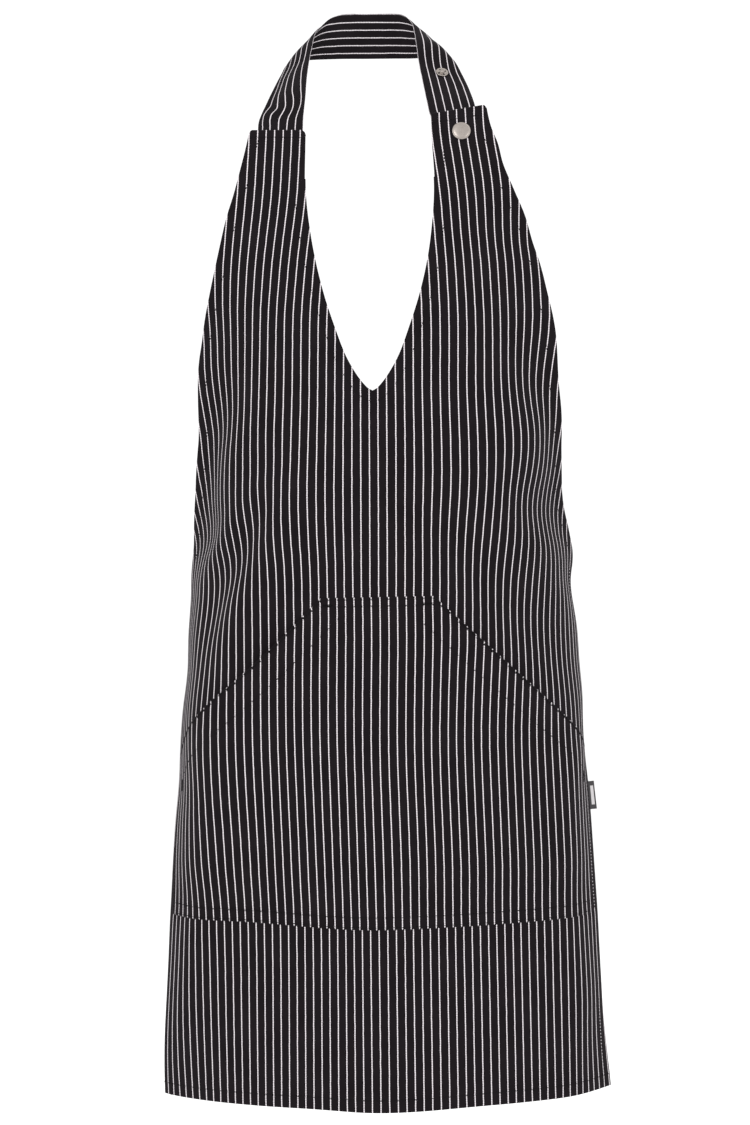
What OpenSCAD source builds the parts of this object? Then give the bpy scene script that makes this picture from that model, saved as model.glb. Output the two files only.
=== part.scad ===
// Halter apron with a V neck, a full-width pouch pocket and a press-stud neck strap,
// in the shape it takes when worn and tied. Millimetres, X to the viewer's right,
// Y to the back, Z up. The origin is the middle of the strap at the back of the neck.

/* [Body] */
// Half of the flat width at and below the waist
side_half = 230; // [200:1:260]
// Length from the left tab to the hem
body_length = 890; // [840:1:920]
// Depth of the V neck below the left tab
neck_depth = 240; // [220:1:260]
// Drop from the back of the neck to the left tab
tab_drop = 118; // [110:1:125]
// How much higher the right tab ends
right_rise = 17; // [10:1:20]
// Thickness of the body cloth
cloth = 1.2; // [0.8:0.1:1.4]

/* [Pocket] */
// Top of the pocket below the left tab
pocket_top = 427; // [420:1:440]
// Bottom of the pocket below the left tab
pocket_bottom = 725; // [700:1:740]
// Half of the sewn top edge
pocket_top_half = 51; // [45:1:60]
// Where the slanted mouths meet the sides
mouth_end = 570; // [560:1:580]
// How far the pocket stands off the body
pocket_room = 8; // [6:0.5:10]
// Width of the facing behind each mouth
facing_width = 25; // [20:1:30]

/* [Strap] */
// Thickness of the doubled strap
strap_thick = 1.6; // [1.2:0.1:2]
// Where the spare stud sits, in steps back from the right end of the strap
spare_steps = 17; // [14:1:19]

/* [Ties] */
// Width of a waist tie
tie_width = 28; // [24:1:32]
// Thickness of a waist tie
tie_thick = 1.4; // [1:0.1:1.8]
// Middle of the ties below the left tab
tie_level = 402; // [398:1:406]
// Depth of the waist behind the neck origin
waist_back = 60; // [50:1:70]
// Reach of a bow loop from the knot
loop_reach = 84; // [60:1:100]
// Length of a hanging tie end
end_length = 230; // [150:1:260]

/* [Press studs] */
// Diameter of the domed cap
cap_d = 17; // [15:0.5:18]
// Height of the domed cap
cap_h = 2.4; // [2:0.1:3]
// Diameter of a stud flange
stud_d = 12; // [11:0.5:13]

/* [Hidden] */
$fn = 48;

black = [0.14, 0.13, 0.14];
thread = [0.25, 0.24, 0.25];
nickel = [0.75, 0.73, 0.70];
gap = 0.4;
socket_h = 3.2;
flange_h = 0.8;
strap_gap = socket_h + 2 * gap + flange_h;
snap_x = 86;
snap_d = 1;

// Flat outline: half width of the body and of the neck opening, by drop below the tab.
outline = [[-24, 104.5], [0, 107], [26, 116], [62, 129], [107, 144], [152, 157], [197, 168],
    [242, 177], [296, 189], [335, 203], [372, 221], [398, 229], [420, 230], [900, 230]];
neckline = [[-24, 57], [0, 56.5], [60, 58.3], [99, 54], [125, 49.5], [149, 43.7], [183, 33],
    [208, 24.3], [223, 16.4], [234.5, 8], [240, 0]];
function half_out(d) = lookup(d, outline) * side_half / 230;
function half_in(d) = lookup(d * 240 / neck_depth, neckline);

// How the cloth turns round the wearer. The angle grows towards the side, and two drag
// folds run down and out to the point where the tie pulls.
turn = [[0, 0], [45, 14], [65, 46], [112, 49], [156, 43], [200, 46], [245, 57], [291, 68],
    [336, 77], [383, 79], [431, 83], [478, 85], [525, 83], [572, 80], [665, 77], [712, 74],
    [758, 72], [804, 69], [850, 66], [890, 63]];
turn_power = [[0, 1.8], [240, 1.9], [335, 2], [530, 2.1], [725, 2.5], [890, 2.6]];
function bell(t) = exp(-t * t);
function fold_one(u, d) = 18 * bell((d - 305) / 110) * bell((u - 128 - 0.4 * (d - 193)) / 22);
function fold_two(u, d) = 24 * bell((d - 392) / 42) * bell((u - 105 - 0.95 * (d - 372)) / 18);
function lean(u, d) =
    min(88, lookup(d, turn) * pow(u / side_half, lookup(d, turn_power))
        + fold_one(u, d) + fold_two(u, d));
STEPS = 16;
ones = [for (i = [1:STEPS]) 1];
function plan(u, d) =
    (u / STEPS) * (ones * [for (i = [1:STEPS])
        let (a = lean((i - 0.5) * u / STEPS, d)) [cos(a), sin(a)]]);

// Depth of the middle of the front, by drop below the tab.
front = [[-24, -109.5], [0, -115.2], [42, -125.3], [100, -136], [160, -143.5], [230, -148.5],
    [300, -150], [900, -150]];

// A point of the cloth: u across the flat panel, d down from the tab, h out of its face.
function at(u, d, h) =
    let (s = sign(u), p = plan(abs(u), d), a = lean(abs(u), d))
    [s * (p.x + h * sin(a)), lookup(d, front) + p.y - h * cos(a), -tab_drop - d];

// Closed slab between an outer and an inner grid of points, both rows by columns.
module slab(outer, inner) {
    m = len(outer);
    n = len(outer[0]);
    flat_outer = [for (r = outer) for (p = r) p];
    flat_inner = [for (r = inner) for (p = r) p];
    o = m * n;
    quads = [for (i = [0:m - 2]) for (j = [0:n - 2])
        [i * n + j, i * n + j + 1, (i + 1) * n + j + 1, (i + 1) * n + j]];
    face_out = [for (q = quads) each [[q[0], q[1], q[2]], [q[0], q[2], q[3]]]];
    face_in = [for (q = quads) each [[q[2] + o, q[1] + o, q[0] + o],
        [q[3] + o, q[2] + o, q[0] + o]]];
    ring = concat([for (j = [0:n - 1]) j], [for (i = [1:m - 1]) i * n + n - 1],
        [for (j = [n - 2:-1:0]) (m - 1) * n + j], [for (i = [m - 2:-1:1]) i * n]);
    k = len(ring);
    side = [for (i = [0:k - 1]) let (a = ring[i], b = ring[(i + 1) % k])
        each [[b, a, a + o], [b, a + o, b + o]]];
    polyhedron(concat(flat_outer, flat_inner), concat(face_out, face_in, side));
}

// Columns crowd towards the side, where the cloth turns most.
COLS = 12;
across = [for (j = [0:COLS]) 1 - pow(1 - j / COLS, 1.5)];
UP = 11;
low_rows = concat([for (d = [neck_depth:20:579]) d], [for (i = [0:8]) 580 + (body_length - 580) * i / 8]);

// The body is one sheet: two tabs that meet below the V and run on as one panel.
function leg_d(i, t, rise) =
    let (top = rise ? -right_rise + 4 - 8 * t : 0) neck_depth + (top - neck_depth) * i / UP;
function leg_u(i, t, rise) =
    let (d = leg_d(i, t, rise)) half_in(d) + (half_out(d) - half_in(d)) * t;

module front_panel() {
    n = 2 * COLS + 1;
    w = COLS + 1;
    lows = len(low_rows);
    low_pts = [for (d = low_rows) for (j = [-COLS:COLS]) [sign(j) * half_out(d) * across[abs(j)], d]];
    legs = [for (s = [-1, 1]) for (i = [1:UP]) for (j = [0:COLS])
        [s * leg_u(i, across[j], s > 0), leg_d(i, across[j], s > 0)]];
    pts = concat(low_pts, legs);
    o = len(pts);
    base = lows * n;
    function low_id(i, j) = i * n + COLS + j;
    function leg_id(s, i, j) = i == 0 ? low_id(0, s * j) : base + (s > 0 ? UP * w : 0) + (i - 1) * w + j;
    low_quads = [for (i = [0:lows - 2]) for (j = [-COLS:COLS - 1])
        [low_id(i, j), low_id(i, j + 1), low_id(i + 1, j + 1), low_id(i + 1, j)]];
    right_quads = [for (i = [0:UP - 1]) for (j = [0:COLS - 1])
        [leg_id(1, i + 1, j), leg_id(1, i + 1, j + 1), leg_id(1, i, j + 1), leg_id(1, i, j)]];
    left_quads = [for (i = [0:UP - 1]) for (j = [0:COLS - 1])
        [leg_id(-1, i + 1, j + 1), leg_id(-1, i + 1, j), leg_id(-1, i, j), leg_id(-1, i, j + 1)]];
    quads = concat(low_quads, right_quads, left_quads);
    rim = concat([for (j = [COLS:-1:0]) leg_id(-1, UP, j)],
        [for (i = [UP - 1:-1:1]) leg_id(-1, i, 0)],
        [leg_id(1, 0, 0)],
        [for (i = [1:UP - 1]) leg_id(1, i, 0)],
        [for (j = [0:COLS]) leg_id(1, UP, j)],
        [for (i = [UP - 1:-1:0]) leg_id(1, i, COLS)],
        [for (i = [1:lows - 1]) low_id(i, COLS)],
        [for (j = [COLS - 1:-1:-COLS]) low_id(lows - 1, j)],
        [for (i = [lows - 2:-1:0]) low_id(i, -COLS)],
        [for (i = [1:UP - 1]) leg_id(-1, i, COLS)]);
    k = len(rim);
    faces = concat([for (q = quads) each [[q[0], q[1], q[2]], [q[0], q[2], q[3]]]],
        [for (q = quads) each [[q[2] + o, q[1] + o, q[0] + o], [q[3] + o, q[2] + o, q[0] + o]]],
        [for (i = [0:k - 1]) let (a = rim[i], b = rim[(i + 1) % k])
            each [[b, a, a + o], [b, a + o, b + o]]]);
    color(black)
    difference() {
        polyhedron(concat([for (p = pts) at(p[0], p[1], cloth)], [for (p = pts) at(p[0], p[1], 0)]), faces);
        snap_axis() cylinder(d = 3, h = 20, center = true);
    }
}

// Facing sewn behind the neck edge, one strip down each side to the point of the V.
module neck_facing(s) {
    rows = concat([for (i = [0:8]) 46 + (neck_depth - 50) * i / 8], [neck_depth + 8, neck_depth + 22]);
    function near(d) = max(0.4, half_in(min(d, neck_depth)) + 0.3);
    function wide(d) = d > neck_depth ? 18 - 0.5 * (d - neck_depth) : 24;
    cols = [0, 0.5, 1];
    color(black)
    slab([for (d = rows) [for (j = [0:2]) at(s * (near(d) + wide(d) * cols[s > 0 ? j : 2 - j]), d, -1.5 * gap)]],
        [for (d = rows) [for (j = [0:2]) at(s * (near(d) + wide(d) * cols[s > 0 ? j : 2 - j]), d, -1.5 * gap - 0.9)]]);
}

// Pouch pocket: half width by drop, and how far it stands off between its sewn edges.
function ease(t) = let (c = min(max(t, 0), 1)) c * c * (3 - 2 * c);
pocket_side = side_half - 8;
function pocket_half(d) =
    let (t = min(max((d - pocket_top) / (mouth_end - pocket_top), 0), 1))
    pocket_top_half + (pocket_side - pocket_top_half) * t - 7 * sin(180 * t);
function pocket_lift(u, d) =
    cloth + 1.9 + pocket_room * (1 - pow(min(abs(u) / pocket_side, 1), 4))
        * ease((pocket_bottom - d) / 45) * ease((d - pocket_top + 14) / 40);
pocket_rows = concat([for (i = [0:9]) pocket_top + (mouth_end - pocket_top) * i / 9],
    [for (i = [1:6]) mouth_end + (pocket_bottom - mouth_end) * i / 6]);

module pocket_panel() {
    function grid(h) = [for (d = pocket_rows) [for (j = [-COLS:COLS])
        let (u = sign(j) * pocket_half(d) * across[abs(j)]) at(u, d, pocket_lift(u, d) + h)]];
    color(black) slab(grid(cloth), grid(0));
}

module pocket_facing(s) {
    rows = [for (i = [0:8]) pocket_top + 12 + (mouth_end - 4 - pocket_top) * i / 8];
    function u_of(d, t) = s * (pocket_half(min(d, mouth_end)) - 2 - facing_width * 1.2 * (1 - t));
    function grid(h) = [for (d = rows) [for (j = [0:3])
        let (u = u_of(d, s > 0 ? j / 3 : 1 - j / 3)) at(u, d, pocket_lift(u, d) + h)]];
    color(black) slab(grid(-1.05), grid(-1.6));
}

// Thread bars that close the ends of the pocket mouths.
module bar(u, d, width, height, h) {
    slab([[at(u - width / 2, d - height / 2, h + 0.7), at(u + width / 2, d - height / 2, h + 0.7)],
        [at(u - width / 2, d + height / 2, h + 0.7), at(u + width / 2, d + height / 2, h + 0.7)]],
        [[at(u - width / 2, d - height / 2, h), at(u + width / 2, d - height / 2, h)],
        [at(u - width / 2, d + height / 2, h), at(u + width / 2, d + height / 2, h)]]);
}

module pocket_bartacks() {
    color(thread)
    for (s = [-1, 1]) {
        bar(s * (pocket_top_half - 6), pocket_top + 6, 9, 1.8, pocket_lift(pocket_top_half - 6, pocket_top + 6) + cloth + 0.3);
        bar(s * (pocket_side - 12), mouth_end + 27, 1.8, 10, pocket_lift(pocket_side - 12, mouth_end + 27) + cloth + 0.3);
    }
}

// Folded woven tag caught in the right side hem.
label_d = 617;
label_h = 26;
module side_label() {
    p = at(side_half, label_d, cloth / 2);
    color(thread)
    translate([p.x, p.y, p.z])
    rotate([0, 0, 32])
    translate([1, -0.5, -label_h / 2]) cube([8, 1, label_h]);
}

// Press stud: cap on the right tab, socket behind it, studs on the strap.
tab_tilt = atan((lookup(-24, front) - lookup(42, front)) / 66);
module snap_axis() {
    translate(at(snap_x, snap_d, cloth / 2)) rotate([90 - tab_tilt, 0, 0]) children();
}

module snap_cap() {
    color(nickel)
    snap_axis() {
        translate([0, 0, cloth / 2 + 0.25])
        rotate_extrude() polygon(concat([[0, 0], [cap_d / 2, 0]],
            [for (a = [0:10:90]) [cap_d / 2 - 1.1 + 1.1 * cos(a), 0.5 + 1.1 * sin(a)]],
            [for (a = [0:15:90]) [(cap_d / 2 - 1.1) * cos(a), 1.6 + (cap_h - 1.6) * sin(a)]]));
        translate([0, 0, -cloth / 2 - 0.6]) cylinder(d = 2.4, h = cloth + 0.9);
    }
}

module snap_socket() {
    color(nickel)
    snap_axis() translate([0, 0, -cloth / 2 - gap - socket_h + 0.6])
    difference() {
        union() {
            cylinder(d = 12, h = socket_h - 0.6);
            cylinder(d = 9, h = socket_h - 0.6);
        }
        translate([0, 0, -1]) cylinder(d = 6.4, h = socket_h - 0.2);
        translate([0, 0, -1]) cylinder(d = 2.6, h = 10);
    }
}

// Neck strap: its two edges from the back of the neck to the end behind a tab. The edge that
// is on top at the back lies beside the neck opening in front, so the strap turns over the
// shoulder and shows its outer face in front.
strap_back = [[0, 0, -22], [0, 0, 22]];
left_outer = [strap_back[0], [20.6, -3, -22.4], [38, -11, -24.5], [54, -20.5, -27.3], [66.5, -32, -31.5],
    [76, -48, -40], [81, -62, -51.5], [87.8, -77, -68.8], [93.8, -90, -85], [100.1, -103, -103.3]];
left_inner = [strap_back[1], [20, -1, 22], [33.4, -6, 17], [42, -13, 8], [48, -23, -1],
    [51, -38, -17], [53.5, -54, -34.5], [55.9, -72, -57], [57, -88, -77], [58.9, -104, -101.5]];
right_outer = [strap_back[0], [27, -3, -23], [45, -12, -25.5], [63.3, -27, -28.6], [74.4, -38, -31.6],
    [84.5, -52, -40.5], [90, -63, -53.8], [95.3, -75.5, -69.5], [98.7, -91, -84.5], [100.2, -99, -93.5]];
right_inner = [strap_back[1], [28, -1, 21.5], [38, -8, 17.5], [44.3, -20, 7.3], [46.4, -31, -3.8],
    [48, -47, -22], [49.4, -60, -41], [52, -76, -62], [55.3, -93, -85.5], [57, -101, -97.5]];
function strap_lay(x, z, back) = [x, at(x, -tab_drop - z, -back - strap_thick / 2).y, z];
left_tail = [[strap_lay(101, -119, 3 * gap), strap_lay(59.5, -122, 3 * gap)],
    [strap_lay(103, -132, 3 * gap), strap_lay(61, -132, 3 * gap)]];
right_tail = [[strap_lay(101.5, -103, strap_gap), strap_lay(58.5, -105, strap_gap)],
    [strap_lay(103, -125, strap_gap), strap_lay(61, -126, strap_gap)],
    [strap_lay(104, -150, strap_gap), strap_lay(62, -150, strap_gap)]];
function half_path(right) = concat(
    [for (i = [0:9]) right ? [right_outer[i], right_inner[i]] : [left_outer[i], left_inner[i]]],
    right ? right_tail : left_tail);
function flip(p) = [-p.x, p.y, p.z];
strap_keys = concat([for (i = [len(half_path(false)) - 1:-1:1])
    [flip(half_path(false)[i][0]), flip(half_path(false)[i][1])]], half_path(true));
function spline(a, b, c, e, t) = 0.5 * (2 * b + (c - a) * t + (2 * a - 5 * b + 4 * c - e) * t * t
    + (3 * b - a - 3 * c + e) * t * t * t);
function key(i, k) = strap_keys[min(max(i, 0), len(strap_keys) - 1)][k];
strap_edges = [for (k = [0, 1]) concat([for (i = [0:len(strap_keys) - 2]) for (t = [0, 1 / 3, 2 / 3])
    spline(key(i - 1, k), key(i, k), key(i + 1, k), key(i + 2, k), t)], [key(len(strap_keys) - 1, k)])];
function unit(v) = v / norm(v);
function strap_normal(i) =
    let (e = strap_edges, n = len(e[0]), a = max(i - 1, 0), b = min(i + 1, n - 1))
    unit(cross(e[0][b] + e[1][b] - e[0][a] - e[1][a], e[1][i] - e[0][i]));
function strap_grid(h) = [for (k = [0, 0.5, 1]) [for (i = [0:len(strap_edges[0]) - 1])
    strap_edges[0][i] * (1 - k) + strap_edges[1][i] * k + strap_normal(i) * h]];

module neck_strap() {
    color(black)
    difference() {
        slab(strap_grid(-strap_thick / 2), strap_grid(strap_thick / 2));
        snap_axis() translate([0, 0, -10]) cylinder(d = 3, h = 20, center = true);
        upper_stud() cylinder(d = 3, h = 20, center = true);
    }
}

// The spare stud sits where the strap is worn one size shorter.
spare = len(strap_edges[0]) - 1 - spare_steps;
module upper_stud() {
    p = (strap_edges[0][spare] + strap_edges[1][spare]) / 2;
    v = strap_normal(spare);
    translate(p) rotate([0, acos(-v.z), atan2(-v.y, -v.x)]) children();
}

// Flange on the face of the strap, post and head of a stud; the face is at z = 0.
module stud() {
    cylinder(d = stud_d, h = flange_h);
    cylinder(d = 3, h = flange_h + 1.6);
    translate([0, 0, flange_h + 0.8]) cylinder(d = 4.2, h = 0.9);
}

module stud_places() {
    snap_axis() translate([0, 0, -cloth / 2 - strap_gap + gap]) children();
    upper_stud() translate([0, 0, strap_thick / 2 + gap]) children();
}

module strap_studs() {
    color(nickel) stud_places() union() {
        stud();
        translate([0, 0, -strap_thick - 1.5]) cylinder(d = 2.4, h = strap_thick + 1.7);
    }
}

module stud_backs() {
    color(nickel) stud_places() translate([0, 0, -strap_thick - 2])
    difference() {
        cylinder(d = 11, h = 1);
        cylinder(d = 3, h = 3, center = true);
    }
}

// Waist ties leave the side edges and run round to the knot at the back.
knot_half = 13;
tie_top = tie_level - tie_width / 2;
tie_bottom = tie_level + tie_width / 2;
side_mid = at(side_half, tie_level, cloth / 2);
waist_centre = side_mid.y + 12;
function tie_plan(t, off) =
    let (b = waist_back - waist_centre, a = side_mid.x + 3, g = 90 * t,
        start = [side_mid.x, side_mid.y + 1.5],
        x = (a + off) * cos(g), y = waist_centre + (b + off) * sin(g), w = ease(t / 0.16))
    [x * w + (start.x + off) * (1 - w), y * w + (start.y + 90 * t) * (1 - w)];
TIE_N = 18;
function tie_stop(s) = s < 0 ? 0.9515 : 0.9483;
module waist_tie(s) {
    ts = [for (i = [0:TIE_N]) tie_stop(s) * pow(i / TIE_N, 1)];
    outer = [for (t = ts) tie_plan(t, tie_thick / 2)];
    inner = [for (i = [TIE_N:-1:0]) tie_plan(ts[i], -tie_thick / 2)];
    color(black)
    translate([0, 0, -tab_drop - tie_bottom])
    linear_extrude(tie_width) polygon([for (p = concat(outer, inner)) [s * p.x, p.y]]);
}

knot_y = waist_back + 1;
knot_z = -tab_drop - tie_level;
module tie_knot() {
    color(black)
    translate([0, knot_y + 1, knot_z])
    intersection() {
        rotate([90, 0, 0]) cylinder(d = 34, h = 20, center = true);
        cube([2 * knot_half, 17, 27], center = true);
        cylinder(d = 28, h = 40, center = true);
    }
}

// A bow loop is the tie folded back on itself beside the knot.
module bow_loop(s) {
    ring = [for (i = [0:24]) let (a = 7.5 + i * 14.375)
        [knot_half + 2 + loop_reach * (1 - cos(a)) / 2, 5.5 * sin(a) * (1.15 - 0.5 * cos(a))]];
    inner = [for (i = [24:-1:0]) let (a = 7.5 + i * 14.375)
        [knot_half + 2 + tie_thick + (loop_reach - 2 * tie_thick) * (1 - cos(a)) / 2,
            (5.5 * (1.15 - 0.5 * cos(a)) - tie_thick) * sin(a)]];
    color(black)
    translate([0, knot_y + 8, knot_z])
    mirror([s < 0 ? 1 : 0, 0, 0]) rotate([0, 12, 0])
    translate([0, 0, -tie_width / 2 + 2])
    linear_extrude(tie_width - 4) polygon(concat(ring, inner));
}

module tie_end(s) {
    n = 12;
    function spine(t) = [s * (10 + 32 * t + 10 * sin(150 * t)), knot_y + 7 - 22 * ease(t * 1.3), -19 - end_length * t];
    function row(h) = [for (i = [0:n]) let (t = i / n, c = spine(t))
        [[c.x - tie_width * (0.30 + 0.2 * ease(3 * t)), c.y - h, knot_z + c.z - 2 * s],
            [c.x + tie_width * (0.30 + 0.2 * ease(3 * t)), c.y - h, knot_z + c.z + 2 * s]]];
    color(black) slab(row(tie_thick / 2 + (s > 0 ? 3 : 0)), row(-tie_thick / 2 + (s > 0 ? 3 : 0)));
}

module neck_facing_left() { neck_facing(-1); }
module neck_facing_right() { neck_facing(1); }
module pocket_facing_left() { pocket_facing(-1); }
module pocket_facing_right() { pocket_facing(1); }
module waist_tie_left() { waist_tie(-1); }
module waist_tie_right() { waist_tie(1); }
module bow_loop_left() { bow_loop(-1); }
module bow_loop_right() { bow_loop(1); }
module tie_end_left() { tie_end(-1); }
module tie_end_right() { tie_end(1); }

front_panel();
neck_facing_left();
neck_facing_right();
pocket_panel();
pocket_facing_left();
pocket_facing_right();
pocket_bartacks();
side_label();
snap_cap();
snap_socket();
neck_strap();
strap_studs();
stud_backs();
waist_tie_left();
waist_tie_right();
tie_knot();
bow_loop_left();
bow_loop_right();
tie_end_left();
tie_end_right();
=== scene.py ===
"""Halter apron with a V neck, a pouch pocket and a press-stud neck strap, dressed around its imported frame.

Pattern sizes are in millimetres: u runs across the cloth from its centre line, d runs down from the
tabs and h stands off the middle of the cloth. Frame points are in metres, X to the viewer's right, Y to
the back and Z up, with the origin at the back of the neck. Left and right are the viewer's.
"""

import math

import bmesh
import bpy
import numpy as np
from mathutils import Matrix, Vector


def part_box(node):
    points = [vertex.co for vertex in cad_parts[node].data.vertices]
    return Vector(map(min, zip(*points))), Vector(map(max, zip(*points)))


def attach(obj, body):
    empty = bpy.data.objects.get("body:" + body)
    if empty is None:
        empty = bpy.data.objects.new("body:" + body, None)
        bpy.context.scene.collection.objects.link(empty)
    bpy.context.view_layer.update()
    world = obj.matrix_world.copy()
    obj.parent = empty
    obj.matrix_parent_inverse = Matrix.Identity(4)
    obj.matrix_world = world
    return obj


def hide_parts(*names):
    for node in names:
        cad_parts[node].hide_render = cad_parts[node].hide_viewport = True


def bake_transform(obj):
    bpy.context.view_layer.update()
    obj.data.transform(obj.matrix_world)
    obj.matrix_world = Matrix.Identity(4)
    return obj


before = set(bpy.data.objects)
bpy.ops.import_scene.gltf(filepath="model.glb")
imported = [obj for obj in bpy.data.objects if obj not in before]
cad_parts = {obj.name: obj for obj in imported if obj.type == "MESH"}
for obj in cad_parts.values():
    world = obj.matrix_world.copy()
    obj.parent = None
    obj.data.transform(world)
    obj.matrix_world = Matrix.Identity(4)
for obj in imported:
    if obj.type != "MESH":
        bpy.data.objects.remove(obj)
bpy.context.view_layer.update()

MM = 0.001

# ---------- camera, lights and floor

VIEW_ACROSS = -0.0008
VIEW_HEIGHT = -0.513
VIEW_DISTANCE = 1.8
FRONT_PLANE = -0.15
VIEW_ROLL = 1.1
LENS = 64
NECK_HEIGHT = 1.5
STUDIO_MIDDLE = np.array([0, -0.1, -0.5])
FLOOR_SHADES = (0.955, 0.955, 0.955), (0.975, 0.975, 0.975)


def make_camera():
    data = bpy.data.cameras.new("camera")
    data.lens = LENS
    camera = bpy.data.objects.new("camera", data)
    bpy.context.collection.objects.link(camera)
    camera.location = (VIEW_ACROSS, FRONT_PLANE - VIEW_DISTANCE, VIEW_HEIGHT)
    camera.rotation_euler = (math.radians(90), math.radians(VIEW_ROLL), 0)
    bpy.context.scene.camera = camera


def softbox(name, spot, width, power):
    """A square light at the spot, turned to the middle of the apron."""
    data = bpy.data.lights.new(name, "AREA")
    data.shape = "RECTANGLE"
    data.size = width
    data.size_y = width
    data.energy = power
    light = bpy.data.objects.new(name, data)
    bpy.context.collection.objects.link(light)
    light.location = spot
    across, away, up = STUDIO_MIDDLE - np.array(spot)
    pitch = math.atan2(up, math.hypot(across, away))
    light.rotation_euler = (math.radians(90) + pitch, 0, -math.atan2(across, away))


def make_studio():
    world = bpy.data.worlds.new("studio")
    bpy.context.scene.world = world
    world.use_nodes = True
    background = world.node_tree.nodes["Background"]
    background.inputs["Color"].default_value = (1, 1, 1, 1)
    background.inputs["Strength"].default_value = 1.1
    softbox("key", (-1.6, -2.6, 0.9), 1.6, 26)
    softbox("fill", (2.2, -2.2, 0.1), 1.8, 14)
    softbox("back", (0.4, 2.6, 0.8), 1.8, 22)
    bpy.ops.mesh.primitive_plane_add(size=60, location=(0, 0, -NECK_HEIGHT))
    floor = bpy.context.object
    floor.name = "floor"
    paint = Paint("pale_floor", roughness=0.9)
    paint.colour(paint.mix(paint.noise(paint.object_point(), 4, 3), *FLOOR_SHADES))
    floor.data.materials.append(paint.material)
    bpy.context.scene.view_settings.view_transform = "Standard"


# ---------- materials


class Paint:
    """A node material, with short calls for the nodes that it is built from."""

    def __init__(self, name, roughness=0.8, metallic=0.0, specular=0.4):
        self.material = bpy.data.materials.new(name)
        self.material.use_nodes = True
        self.tree = self.material.node_tree
        self.shader = self.tree.nodes["Principled BSDF"]
        self.shader.inputs["Roughness"].default_value = roughness
        self.shader.inputs["Metallic"].default_value = metallic
        self.shader.inputs["Specular IOR Level"].default_value = specular

    def node(self, kind, **inputs):
        made = self.tree.nodes.new(kind)
        for key, value in inputs.items():
            self.feed(made.inputs[key], value)
        return made

    def feed(self, socket, value):
        if isinstance(value, bpy.types.NodeSocket):
            self.tree.links.new(value, socket)
        elif isinstance(value, tuple) and len(value) == 3 and socket.type == "RGBA":
            socket.default_value = (*value, 1)
        else:
            socket.default_value = value

    def math(self, operation, a, b=0.0, c=0.0):
        made = self.tree.nodes.new("ShaderNodeMath")
        made.operation = operation
        for socket, value in zip(made.inputs, (a, b, c)):
            self.feed(socket, value)
        return made.outputs[0]

    def scaled(self, value, factor, added=0.0):
        return self.math("MULTIPLY_ADD", value, factor, added)

    def apart(self, a, b):
        return self.math("ABSOLUTE", self.math("SUBTRACT", a, b))

    def wave(self, value, pitch):
        return self.math("SINE", self.math("MULTIPLY", value, 2 * math.pi / pitch))

    def mix(self, factor, a, b):
        made = self.tree.nodes.new("ShaderNodeMix")
        made.data_type = "RGBA"
        self.feed(made.inputs["Factor"], factor)
        self.feed(made.inputs["A"], a)
        self.feed(made.inputs["B"], b)
        return made.outputs["Result"]

    def step(self, value, low, high, at_low=0.0, at_high=1.0):
        made = self.tree.nodes.new("ShaderNodeMapRange")
        made.interpolation_type = "SMOOTHSTEP"
        for socket, number in zip(made.inputs, (value, low, high, at_low, at_high)):
            self.feed(socket, number)
        return made.outputs[0]

    def noise(self, vector, scale, detail=2.0, rough=0.5):
        made = self.node("ShaderNodeTexNoise", Vector=vector, Scale=scale, Detail=detail, Roughness=rough)
        return made.outputs["Fac"]

    def object_point(self):
        return self.tree.nodes.new("ShaderNodeTexCoord").outputs["Object"]

    def map_point(self, layer):
        made = self.tree.nodes.new("ShaderNodeUVMap")
        made.uv_map = layer
        return made.outputs[0]

    def grain_axes(self):
        """Millimetres across the grain and along it."""
        made = self.tree.nodes.new("ShaderNodeSeparateXYZ")
        self.feed(made.inputs[0], self.map_point(GRAIN))
        return made.outputs[0], made.outputs[1]

    def colour(self, value):
        self.feed(self.shader.inputs["Base Color"], value)

    def rough(self, value):
        self.feed(self.shader.inputs["Roughness"], value)

    def bump(self, height, distance):
        made = self.node("ShaderNodeBump", Height=height, Distance=distance, Strength=1.0)
        self.tree.links.new(made.outputs[0], self.shader.inputs["Normal"])

    def sheen(self, weight, roughness, tint):
        self.shader.inputs["Sheen Weight"].default_value = weight
        self.shader.inputs["Sheen Roughness"].default_value = roughness
        self.shader.inputs["Sheen Tint"].default_value = (*tint, 1)


GRAIN = "grain"
STRIPE_PITCH = 7.8
STRIPE_HALF = 0.41
STRIPE_BLUR = 0.16
BEAD_PITCH = 1.55
TWILL_PITCH = 0.9
RIB_PITCH = 0.62
PLY_PITCH = 0.7
BLACK = (0.0062, 0.0046, 0.0057)
BLACK_WORN = (0.0135, 0.0106, 0.0126)
WHITE = (0.90, 0.845, 0.875)
WHITE_SHADE = (0.50, 0.445, 0.47)
CLOTH_SHEEN = (0.9, 0.84, 0.9)
THREAD_SHADES = (0.0035, 0.0028, 0.0033), (0.0095, 0.0078, 0.009)
NICKEL_SHADES = (0.30, 0.265, 0.24), (0.47, 0.425, 0.39)
LABEL_FIELD_SHADES = (0.42, 0.40, 0.41), (0.68, 0.66, 0.67)
LABEL_EDGE_SHADES = (0.02, 0.018, 0.02), (0.05, 0.046, 0.05)


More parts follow.
